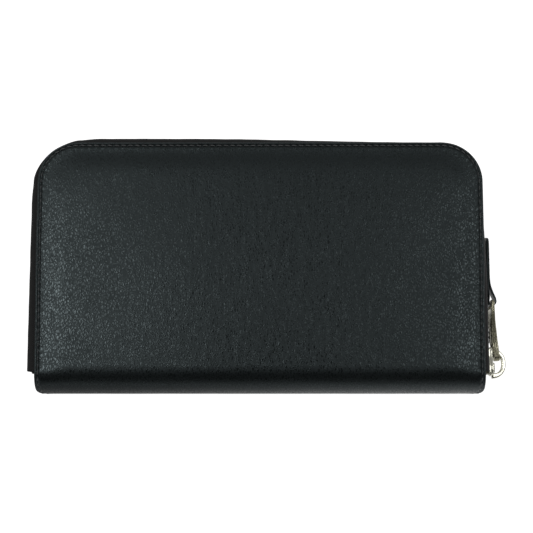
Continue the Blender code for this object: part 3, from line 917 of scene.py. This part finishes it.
def softLevels(edge, thickness, turns=4):
    # levels that round both rims of a plate over this edge
    low = []
    for i in range(turns, -1, -1):
        turn = quarter * i / turns
        low.append((edge / thickness * (1 - math.sin(turn)), edge * (1 - math.cos(turn))))
    return low + [(1 - share, inset) for share, inset in low[::-1]]


def bent(bank, line, section, place):
    # a section swept along a line in the plane of its turns; section(i) gives points of (off, wide)
    rings = []
    for i, spot in enumerate(line):
        run = heading(line, i)
        ring = []
        for off, wide in section(i):
            ring.append(bank.point(place(spot[0] - run.y * off, spot[1] + run.x * off, wide), (off, wide)))
        rings.append(ring)
    bank.tube(rings)


def ribbon(line, thick, wide, radius, place):
    # one strip of even section along the line
    bank = Hide()
    bent(bank, line, lambda i: roundedBar(thick, wide, radius), place)
    return bank


def smoothLine(spots, steps=6):
    # a soft line through the given places
    line = []
    for i in range(len(spots) - 1):
        a, b, c, d = (Vector(spots[min(max(i + k, 0), len(spots) - 1)]) for k in (-1, 0, 1, 2))
        for k in range(steps):
            t = k / steps
            line.append(tuple(0.5 * (2 * b + (c - a) * t + (2 * a - 5 * b + 4 * c - d) * t * t
                                     + (3 * b - a - 3 * c + d) * t ** 3)))
    line.append(tuple(spots[-1]))
    return line


# a slider lies in its own frame: along the zip to the closed teeth, across it, and out of it
def sliderPieces(prefix, node, home, along, out, look):
    home, along, out = Vector(home), Vector(along), Vector(out)
    across = out.cross(along)

    def place(a, b, h):
        return home + along * a + across * b + out * h

    body = Hide()
    inside, outside, wide = look["inside"], look["outside"], look["flange"]
    low, high = look["slot"], inside + look["flangeSunk"]
    end = look["length"] / 2
    for face, nose, tail in (
        (1, look["outerNose"], look["outerTail"]), (-1, look["innerNose"], look["innerTail"]),
    ):
        loop = mirrored([(-end, nose * 0.36), (-end * 0.72, nose / 2), (-end * 0.3, nose / 2),
                         (end * 0.25, tail / 2), (end * 0.8, tail / 2), (end, tail * 0.38)], 1.3 * mm)
        levels = softLevels(look["rim"], outside - inside)
        lofted(body, [loop], levels, lambda a, b, s: place(a, b, face * mix(inside, outside, s)))
        for sign in (1, -1):
            noseEdge, tailEdge = sign * (nose / 2 - wide / 2), sign * (tail / 2 - wide / 2)
            rail = [(-end * 0.86, noseEdge), (-end * 0.3, noseEdge), (end * 0.25, tailEdge),
                    (end * 0.9, tailEdge)]
            bent(body, smoothLine(rail, 5), lambda i: roundedBar(wide, high - low, 0.28 * mm),
                 lambda a, b, w: place(a, b, face * ((low + high) / 2 + w)))
    thin = look["post"]
    post = roundedLoop([(-end * 0.85, -thin), (-end * 0.3, -thin * 0.7), (-end * 0.3, thin * 0.7),
                        (-end * 0.85, thin)], 0.12 * mm, 2)
    reach = inside + 0.3 * mm
    lofted(body, [post], [(0, 0), (1, 0)], lambda a, b, s: place(a, b, mix(-reach, reach, s)))
    boss = roundedBox((-end * 0.82, -look["boss"]), (-end * 0.1, look["boss"]), 0.6 * mm)
    lofted(body, [boss], [(0, 0), (0.6, 0), (0.85, 0.12 * mm), (1, 0.35 * mm)],
           lambda a, b, s: place(a, b, outside - 0.2 * mm + s * look["bossHigh"]))
    crown = Hide()
    arch = []
    for i in range(33):
        turn = math.pi * i / 32
        c, s = math.cos(turn), math.sin(turn)
        arch.append((look["crownCentre"] + look["crownLong"] * math.copysign(abs(c) ** 0.86, c),
                     outside - 0.15 * mm + look["crownHigh"] * abs(s) ** 0.86))

    def band(i):
        # thicker and wider towards both feet
        share = abs(i / 16 - 1)
        return roundedBar(look["crownBar"] * mix(1, 1.25, share ** 2),
                          look["crownWide"] * mix(1, 1.12, share ** 3), 0.5 * mm, 4)

    bent(crown, arch, band, lambda a, h, w: place(a, w, h))
    for bank, part in ((body, "body"), (crown, "crown")):
        bank.dress(f"{prefix}{part.title()}", brightMetal, "zip_metal", f"{node}_{part}", node)


outerSlider = {
    "length": sliderHigh.y - sliderLow.y,
    "inside": 1.65 * mm,  # out from the teeth's middle
    "outside": 2.75 * mm,
    "rim": 0.4 * mm,
    "outerNose": 8.6 * mm, "outerTail": 6.6 * mm, "innerNose": 8.0 * mm, "innerTail": 6.4 * mm,
    "flange": 0.95 * mm,
    "flangeSunk": 0.25 * mm,
    "slot": 0.62 * mm,
    "post": 0.25 * mm,
    "boss": 2.1 * mm, "bossHigh": 1.15 * mm,
    "crownCentre": -0.9 * mm, "crownLong": 5.25 * mm, "crownHigh": 5.0 * mm,
    "crownBar": 1.75 * mm, "crownWide": 2.4 * mm,
}
sliderPieces("zipSlider", "zip_slider", (tapeHigh.x - wallHalf, (sliderLow.y + sliderHigh.y) / 2, middle),
             (0, 1, 0), (1, 0, 0), outerSlider)
print("outer slider and its crown")


def swingAxis(name):
    return Vector(next(j for j in frame["joints"] if j["name"] == name)["pos_m"])


def profileAt(profile, at, column):
    # a soft step from each listed place to the next
    for a, b in zip(profile, profile[1:]):
        if at * 1000 <= b[0]:
            break
    return mix(a[column], b[column], smooth((at * 1000 - a[0]) / (b[0] - a[0]))) * mm


def pullerPiece(name, node, swing, lean, along, out, look):
    # a cast wedge: thick at the eye that holds the crown, thin at the tip, grooved along its edges
    lean, along, out = math.radians(lean), Vector(along), Vector(out)
    across = out.cross(along)
    run = along * math.cos(lean) - out * math.sin(lean)
    off = out * math.cos(lean) + along * math.sin(lean)
    home = swingAxis(swing)
    start, tip = -look["bar"] / 2, look["tip"]
    eye, neck, head, groove = look["eye"], look["neck"], look["head"], look["groove"]
    outer = mirrored([
        (start - 0.25 * mm, neck - 1.1 * mm), (start + 0.9 * mm, neck), (look["eyeLong"], neck),
        (look["waist"], mix(neck, head, 0.35)), (look["slotStart"] - 1.5 * mm, head), (tip - 0.6 * mm, head),
        (tip, head - 0.8 * mm),
    ], 1.4 * mm)
    eyeHole = roundedBox((-start, -eye), (look["eyeLong"] - 0.6 * mm, eye), 1.0 * mm)
    slotHalf = look["slotHalf"]
    slotHole = roundedBox((look["slotStart"], -slotHalf), (look["slotEnd"], slotHalf), 0.5 * mm, 3)

    def place(a, b, share):
        low, high = (profileAt(look["profile"], a, k) for k in (1, 2))
        return home + run * a + across * b + off * mix(low, high, share)

    levels = [(0, 0.28 * mm), (0.05, 0.12 * mm), (0.12, 0.03 * mm), (0.2, 0), (0.3, 0), (0.35, groove),
              (0.42, groove), (0.47, 0), (0.62, 0), (0.66, groove), (0.72, groove), (0.77, 0), (0.86, 0),
              (0.92, 0.05 * mm), (0.97, 0.14 * mm), (1, 0.3 * mm)]
    bank = Hide()
    lofted(bank, [outer, eyeHole, slotHole], levels, place)
    bank.dress(name, agedMetal, "zip_metal", node, node)


outerPuller = {
    "bar": 1.5 * mm, "eye": 1.7 * mm, "neck": 3.0 * mm, "head": 5.0 * mm,
    "eyeLong": 6.9 * mm, "waist": 13 * mm, "slotStart": 21.5 * mm, "slotEnd": 23.6 * mm, "slotHalf": 3.7 * mm,
    "tip": 24.95 * mm,
    # along from the axis, nearest and farthest from the zip, in mm
    "profile": ((-2, -1.5, 0.75), (4, -1.75, 0.6), (8, -2.35, 0.35), (15, -1.9, -0.05), (25, -1.05, 0.15)),
    "groove": 0.16 * mm,
}
pullerPiece("zipPuller", "zip_puller", "puller_swing", 3.7, (0, 1, 0), (1, 0, 0), outerPuller)

tab = {
    "leather": 0.6 * mm,
    "width": 7 * mm,
    "loop": 1.5 * mm,  # radius of the turn round the puller's bar, in the middle of the leather
    "shift": -0.45 * mm,  # the loop hangs this far nearer to the zip than the swing axis
    "length": 28 * mm,
    "closeX": 1.68 * mm,  # the sewn layers lie this far nearer to the zip than the bar
    "margin": 1.1 * mm,
    "pitch": 2.4 * mm,
    "stitches": 8,  # to a row, the first this far from the end
    "clear": 3.6 * mm,
    "endRound": 3.2 * mm,
}
tabSeam = {**seam, "lift": 0.04 * mm, "dive": 0.35 * mm, "width": 0.42 * mm, "height": 0.3 * mm}
tabAxis = swingAxis("tab_swing")


def tabLine():
    # down the inner layer, round the bar and back up the outer one: x and y from the bar
    inner, radius, length = -tab["closeX"], tab["loop"], tab["length"]
    outer = inner + tab["leather"]
    line = [(inner, length), (inner, 20 * mm), (inner, 13 * mm), (inner + 0.02 * mm, 9 * mm),
            (inner + 0.16 * mm, 5 * mm), (inner + 0.42 * mm, 2 * mm), (-radius, 0)]
    for i in range(1, 6):
        turn = math.pi * (1 + i / 6)
        line.append((radius * math.cos(turn), radius * math.sin(turn)))
    line += [(radius, 0), (radius - 0.25 * mm, 1.5 * mm), (outer + 1.25 * mm, 4.1 * mm),
             (outer + 0.35 * mm, 7 * mm), (outer + 0.03 * mm, 10 * mm),
             (outer, 14 * mm), (outer, 20 * mm), (outer, length)]
    return smoothLine(line, 5)


def tabPieces():
    line = tabLine()
    lengths = [0.0]
    for a, b in zip(line, line[1:]):
        lengths.append(lengths[-1] + math.dist(a, b))
    whole = lengths[-1]
    home = tabAxis.x + tab["shift"]

    def section(i):
        # the free end is cut round
        half, radius = tab["width"] / 2, tab["endRound"]
        left = min(lengths[i], whole - lengths[i])
        if left < radius:
            half += math.sqrt(max(radius ** 2 - (radius - left) ** 2, 0)) + 0.02 * mm - radius
        return roundedBar(tab["leather"], 2 * half, 0.2 * mm, 3)

    strap = Hide()
    bent(strap, line, section, lambda x, y, w: (home + x, tabAxis.y + y, middle + w))
    bank = Hide()

    def place(at, across, lift):
        for i in range(len(lengths) - 2):
            if at <= lengths[i + 1]:
                break
        share = (at - lengths[i]) / (lengths[i + 1] - lengths[i])
        run = Vector((line[i + 1][0] - line[i][0], line[i + 1][1] - line[i][1])).normalized()
        x, y = (mix(line[i][k], line[i + 1][k], share) for k in (0, 1))
        off = tab["leather"] / 2 + lift
        return (home + x + run.y * off, tabAxis.y + y - run.x * off, middle + across)

    pitch, clear = tab["pitch"], tab["clear"]
    for wide in (-1, 1):
        across = wide * (tab["width"] / 2 - tab["margin"])
        for k in range(tab["stitches"]):
            for start in (whole - clear - (k + 1) * pitch, clear + k * pitch):
                sewAlong(bank, lambda at, c, lift: place(at, across + c, lift), start,
                         start + pitch * seam["share"], tabSeam)
    return strap, bank


strap, strapSeam = tabPieces()
strap.dress("pullerTab", tabLeather, "tab_leather", "puller_leather_tab", "puller_tab")
strapSeam.dress("pullerTabStitching", thread, "tab_leather", None, "puller_tab")

stop = Hide()
lofted(stop, [roundedBox((stopLow.x, stopLow.y), (stopHigh.x, stopHigh.y), 0.5 * mm)],
       softLevels(0.3 * mm, stopHigh.z - stopLow.z), lambda a, b, s: (a, b, mix(stopLow.z, stopHigh.z, s)))
stop.dress("zipBottomStop", agedMetal, "zip_metal", "zip_bottom_stop", "front_cover")
print("puller, tab and stop")


panelSteps = (46, 20)  # places along a panel's long and short sides


def panelRim(low, high, radii, inset):
    # a closed rim this far inside the panel; radii are for the corners at the fold and at the zip
    keep = 1 - inset / (min(high.x - low.x, high.y - low.y) / 2)
    arcs = []
    for x, y, radius, first in (
        (low.x, low.y, radii[0], 180), (high.x, low.y, radii[0], 270),
        (high.x, high.y, radii[1], 0), (low.x, high.y, radii[1], 90),
    ):
        r = max(radius - inset, 0) if inset < radius * 0.6 else radius * 0.4 * keep
        centre = (x + (inset + r) * (1 if x == low.x else -1), y + (inset + r) * (1 if y == low.y else -1))
        arcs.append(arcAt(centre, r, first, 90, 6))
    rim = []
    for k, arc in enumerate(arcs):
        steps = panelSteps[k % 2]
        a, b = arc[-1], arcs[(k + 1) % 4][0]
        rim += arc + [(mix(a[0], b[0], i / steps), mix(a[1], b[1], i / steps)) for i in range(1, steps)]
    return rim


def softPanel(low, high, radii, look):
    # a thin sheet with rounded rims, a creased line inside them, and a slight unevenness
    half = (high.z - low.z) / 2
    least = min(high.x - low.x, high.y - low.y) / 2
    crease = look["crease"]
    levels = [(0.0, 0.0), (0.12 * half, 0.5 * half), (0.5 * half, 0.87 * half), (half, half)]
    for out, drop in ((-0.5, 0), (-0.15, 1), (0.15, 1), (0.5, 0)):
        levels.append((crease + out * mm, half - drop * look["creaseDeep"]))
    levels += [(inset * mm, half) for inset in (4, 8, 14, 22)] + [(least, half)]
    bank = Hide()
    rows = []
    for face, listed in ((-1, levels[::-1]), (1, levels[1:])):
        for inset, height in listed:
            row = []
            for x, y in panelRim(low, high, radii, min(inset, least)):
                uneven = look["uneven"] * ripple(x, y, low.z * 40, 19 * mm, 6.0) * smooth(inset / (6 * mm))
                row.append(bank.point((x, y, (low.z + high.z) / 2 + face * height + uneven), (x, y)))
            rows.append(row)
    bank.rows(rows, closed=True)
    return bank


cardPanel = {"crease": 1.3 * mm, "creaseDeep": 0.09 * mm, "uneven": 0.09 * mm}
liningPanel = {"crease": 2.0 * mm, "creaseDeep": 0.04 * mm, "uneven": 0.08 * mm}
coinPanel = {"crease": 1.6 * mm, "creaseDeep": 0.14 * mm, "uneven": 0.14 * mm}
gussetLook = {"thick": 0.5 * mm, "belly": 0.10 * mm, "rim": 0.2 * mm}


def gussetLine(low, high, sign, look):
    # in along one leaf, round the fold and out along the other: x and z
    edge, fold = (low.x, high.x) if sign < 0 else (high.x, low.x)
    thick = look["thick"]
    zLow, zHigh = low.z + thick / 2, high.z - thick / 2
    turn = (zHigh - zLow) / 2
    bend = fold + sign * turn

    def leaf(a, b, z, way, steps):
        return [(mix(a, b, i / 8), z + way * look["belly"] * math.sin(math.pi * i / 8)) for i in steps]

    line = leaf(edge, bend, zLow, 1, range(8))
    for i in range(9):
        angle = math.pi * i / 8
        line.append((fold + sign * (turn - (turn - thick / 2) * math.sin(angle)),
                     (zLow + zHigh) / 2 - turn * math.cos(angle)))
    return line + leaf(bend, edge, zHigh, -1, range(1, 9))


for side in ("back", "front"):
    for name, node, radii, look, finish, slot, body in (
        (f"{side}Lining", f"{side}_lining", (0.6, 14), liningPanel, liningCloth, "lining", f"{side}_cover"),
        *((f"{side}CardSlot{tier}", f"{side}_card_slot_{tier}", (0.6, 2.6), cardPanel, cardLeather,
           "card_leather", f"{side}_cover") for tier in (1, 2, 3)),
        (f"coinPocket{side.title()}Panel", f"coin_pocket_{side}_panel", (2.5, 1.2), coinPanel, cardLeather,
         "card_leather", "spine"),
    ):
        panel = softPanel(*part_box(node), [radius * mm for radius in radii], look)
        panel.dress(name, finish, slot, node, body)
    frame["nodes"][f"{side}_board"].material_slots[0].material = pressedBoard
    for end, sign in (("Left", -1), ("Right", 1)):
        node = f"gusset_{side}_{end.lower()}"
        low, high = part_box(node)
        gusset = ribbon(gussetLine(low, high, sign, gussetLook), gussetLook["thick"], high.y - low.y,
                        gussetLook["rim"], lambda x, z, w: (x, (low.y + high.y) / 2 + w, z))
        gusset = gusset.dress(f"gusset{side.title()}{end}", cardLeather, "card_leather", node)
        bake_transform(gusset)
print("linings, card slots, coin pocket panels and gussets")

bandLow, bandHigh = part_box("coin_pocket_band")
band = {"thick": 1.0 * mm, "turn": 3 * mm, "rim": 0.3 * mm}
edge, foot = bandHigh.x - band["thick"] / 2, bandLow.y + band["thick"] / 2 + band["turn"]
bandLine = [(-edge, mix(bandHigh.y, foot, i / 12)) for i in range(12)]
bandTurn = edge - band["turn"]
bandLine += arcAt((-bandTurn, foot), band["turn"], 180, 90, 8)
bandLine += [(mix(-bandTurn, bandTurn, i / 30), foot - band["turn"]) for i in range(1, 30)]
bandLine += arcAt((bandTurn, foot), band["turn"], 270, 90, 8)
bandLine += [(edge, mix(foot, bandHigh.y, i / 12)) for i in range(1, 13)]
coinBand = ribbon(bandLine, band["thick"], bandHigh.z - bandLow.z, band["rim"],
                  lambda x, y, w: (x, y, (bandLow.z + bandHigh.z) / 2 + w))
coinBand.dress("coinPocketBand", cardLeather, "card_leather", "coin_pocket_band", "spine")

# lining round the inside of the fold
liningLow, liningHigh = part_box("spine_lining")
spineLook = {"under": 1.65 * mm, "thick": 0.5 * mm, "rim": 0.2 * mm}
liningLine = []
for side in ("front", "back"):
    listed = [foldY - foldLength * i / 20 for i in range(21)]
    for t in (listed if side == "front" else listed[-2::-1]):
        liningLine.append(hidePlace(side, 0, t, -spineLook["under"])[1:])
spineLining = ribbon(liningLine, spineLook["thick"], liningHigh.x - liningLow.x, spineLook["rim"],
                     lambda y, z, w: (w, y, z))
spineLining.dress("spineLining", liningCloth, "lining", "spine_lining", "spine")

coinZip = {"tape": 0.4 * mm, "rim": 0.15 * mm, "pitch": 2.1 * mm, "scale": 0.62, "clear": 0.6 * mm}
coinTeethLow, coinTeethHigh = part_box("coin_zip_teeth_back")
coinZipY = (coinTeethLow.y + coinTeethHigh.y) / 2
for side in ("back", "front"):
    low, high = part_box(f"coin_zip_tape_{side}")
    outerUp = max(high.z - middle, middle - low.z) - coinZip["tape"] / 2
    lipUp = min(abs(high.z - middle), abs(low.z - middle))
    line = smoothLine([
        (low.y, outerUp), (mix(low.y, high.y, 0.35), outerUp), (mix(low.y, high.y, 0.7), outerUp - 0.1 * mm),
        (high.y - coinZip["tape"] * 0.8, mix(outerUp, lipUp, 0.45)), (coinZipY, lipUp),
    ], 4)
    coinTape = ribbon(line, coinZip["tape"], high.x - low.x, coinZip["rim"],
                      lambda y, up, w: (w, y, acrossSide(side, up)))
    coinTape.dress(f"coinZipTape{side.title()}", tapeCloth, "zip_tape", f"coin_zip_tape_{side}", "spine")
    coinTeeth = Hide()
    for i in range(int((coinTeethHigh.x - coinTeethLow.x) / coinZip["pitch"])):
        x = coinTeethLow.x + coinZip["clear"] + (i + 0.5 * (side == "front")) * coinZip["pitch"]
        toothAt(coinTeeth, (x, coinZipY), (0, 1), side, toothShape, coinZip["scale"])
    coinTeeth.dress(f"coinZipTeeth{side.title()}", toothMetal, "zip_teeth", f"coin_zip_teeth_{side}", "spine")

coinSliderLow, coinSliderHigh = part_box("coin_slider_body")
coinSlider = {
    "length": coinSliderHigh.x - coinSliderLow.x,
    "inside": 1.2 * mm, "outside": 2.0 * mm, "rim": 0.3 * mm,
    "outerNose": 6.2 * mm, "outerTail": 4.6 * mm, "innerNose": 4.2 * mm, "innerTail": 4.2 * mm,
    "flange": 0.5 * mm, "flangeSunk": 0.25 * mm, "slot": 0.46 * mm,
    "post": 0.15 * mm, "boss": 1.3 * mm, "bossHigh": 0.7 * mm,
    "crownCentre": 0.0, "crownLong": 3.4 * mm, "crownHigh": 3.6 * mm,
    "crownBar": 1.2 * mm, "crownWide": 1.8 * mm,
}
sliderPieces("coinSlider", "coin_slider", ((coinSliderLow.x + coinSliderHigh.x) / 2, coinZipY, middle),
             (-1, 0, 0), (0, 1, 0), coinSlider)
coinPuller = {
    "bar": 1.1 * mm, "eye": 1.3 * mm, "neck": 2.3 * mm, "head": 2.25 * mm,
    "eyeLong": 5.6 * mm, "waist": 8 * mm, "slotStart": 11.4 * mm, "slotEnd": 13.6 * mm, "slotHalf": 0.75 * mm,
    "tip": 15.0 * mm,
    "profile": ((-2, -0.5, 0.5), (16, -0.5, 0.5)),
    "groove": 0.06 * mm,
}
pullerPiece("coinPuller", "coin_puller", "coin_puller_swing", 8, (-1, 0, 0), (0, 1, 0), coinPuller)
print("coin pocket's band, zip and slider")

studio = {
    "target": (0.0027, 0.0015, 0.012), "distance": 0.588, "elevation": 81, "lens": 92.5,
    "height": 1.1,  # of both softboxes
    # lowest and highest x and y that each softbox covers, and its radiance
    "left": (-0.66, -0.24, -0.04, 0.24, 6.2),
    "right": (0.28, 0.62, -0.04, 0.25, 3.6),
    "surround": 0.07,  # how bright the room is overhead
    "back": 0.32,
    "horizon": 0.6,  # the room's walls, low down
    "dim": 0.06,  # of the room on the viewer's side
}


def studioCamera():
    lens = bpy.data.cameras.new("camera")
    lens.lens = studio["lens"]
    lens.sensor_width = 36
    lens.clip_start = 0.01
    made = bpy.data.objects.new("camera", lens)
    rise = math.radians(studio["elevation"])
    x, y, z = studio["target"]
    made.location = (x, y - studio["distance"] * math.cos(rise), z + studio["distance"] * math.sin(rise))
    made.rotation_euler = (quarter - rise, 0, 0)
    bpy.context.scene.collection.objects.link(made)
    bpy.context.scene.camera = made


def softbox(name, left, right, near, far, radiance):
    light = bpy.data.lights.new(name, "AREA")
    light.shape = "RECTANGLE"
    light.size, light.size_y = right - left, far - near
    light.energy = radiance * math.pi * light.size * light.size_y
    made = bpy.data.objects.new(name, light)
    made.location = ((left + right) / 2, (near + far) / 2, studio["height"])
    bpy.context.scene.collection.objects.link(made)


floorLook = {
    "size": 1.6, "sunk": 0.0002,
    "seen": (0.98, 0.98, 0.98, 1),  # as the camera sees it; the object sees the two below, a painted glow, dim at the left and bright at the right, that stands in for the light falling off to the left
    "left": (0.11, 0.11, 0.11, 1), "right": (0.6, 0.6, 0.6, 1), "from": -0.1, "to": 0.13,
    "dark": (0.60, 0.60, 0.60, 1), "light": (0.62, 0.62, 0.62, 1), "paper": 60.0,
}


def paleFloor(look):
    bank = Hide()
    rim = arcAt((0, 0), look["size"], 0, 360, 64)[:-1]
    bank.face([bank.point((x, y, -look["sunk"])) for x, y in rim])
    made, tree, shader, place = startMaterial("paleFloor", "Object")
    paper = lumps(tree, place, look["paper"])[0]
    shader.inputs["Roughness"].default_value = 0.9
    # the floor glows: evenly white to the camera, and to the wallet a painted light, dim at the left and
    # bright at the right
    shader.inputs["Emission Strength"].default_value = 1.0
    seen = add(tree, "ShaderNodeLightPath").outputs["Is Camera Ray"]
    across = add(tree, "ShaderNodeSeparateXYZ", {0: place}).outputs[0]
    reflectedGlow = blendColours(tree, spread(tree, across, look["from"], look["to"]), look["left"], look["right"])
    feed(tree, shader, {
        "Base Color": blendColours(tree, paper, look["dark"], look["light"]),
        "Emission Color": blendColours(tree, seen, reflectedGlow, look["seen"]),
    })
    bank.piece("paleFloor", [made])

def dimRoom():
    # white to the eye behind the object; in what leather and metal reflect, grey overhead, dimmer in
    # front, and pale low down
    world = bpy.data.worlds.new("room")
    world.use_nodes = True
    tree = world.node_tree
    shade = tree.nodes["Background"]
    seen = add(tree, "ShaderNodeLightPath").outputs["Is Camera Ray"]
    way = add(tree, "ShaderNodeSeparateXYZ", {0: add(tree, "ShaderNodeTexCoord").outputs["Generated"]})
    front = spread(tree, way.outputs[1], -0.05, -0.45)
    back = spread(tree, way.outputs[1], 0.17, 0.25)
    grey = {k: (studio[k],) * 3 + (1,) for k in ("surround", "back", "dim", "horizon")}
    room = blendColours(tree, front, blendColours(tree, back, grey["surround"], grey["back"]), grey["dim"])
    low = spread(tree, way.outputs[2], 0.42, 0.1)
    room = blendColours(tree, low, room, grey["horizon"])
    tree.links.new(blendColours(tree, seen, room, (0.95, 0.95, 0.95, 1)), shade.inputs["Color"])
    bpy.context.scene.world = world


studioCamera()
softbox("leftSoftbox", *studio["left"])
softbox("rightSoftbox", *studio["right"])
paleFloor(floorLook)
dimRoom()
bpy.context.scene.view_settings.view_transform = "Standard"
print("camera, lights and floor")
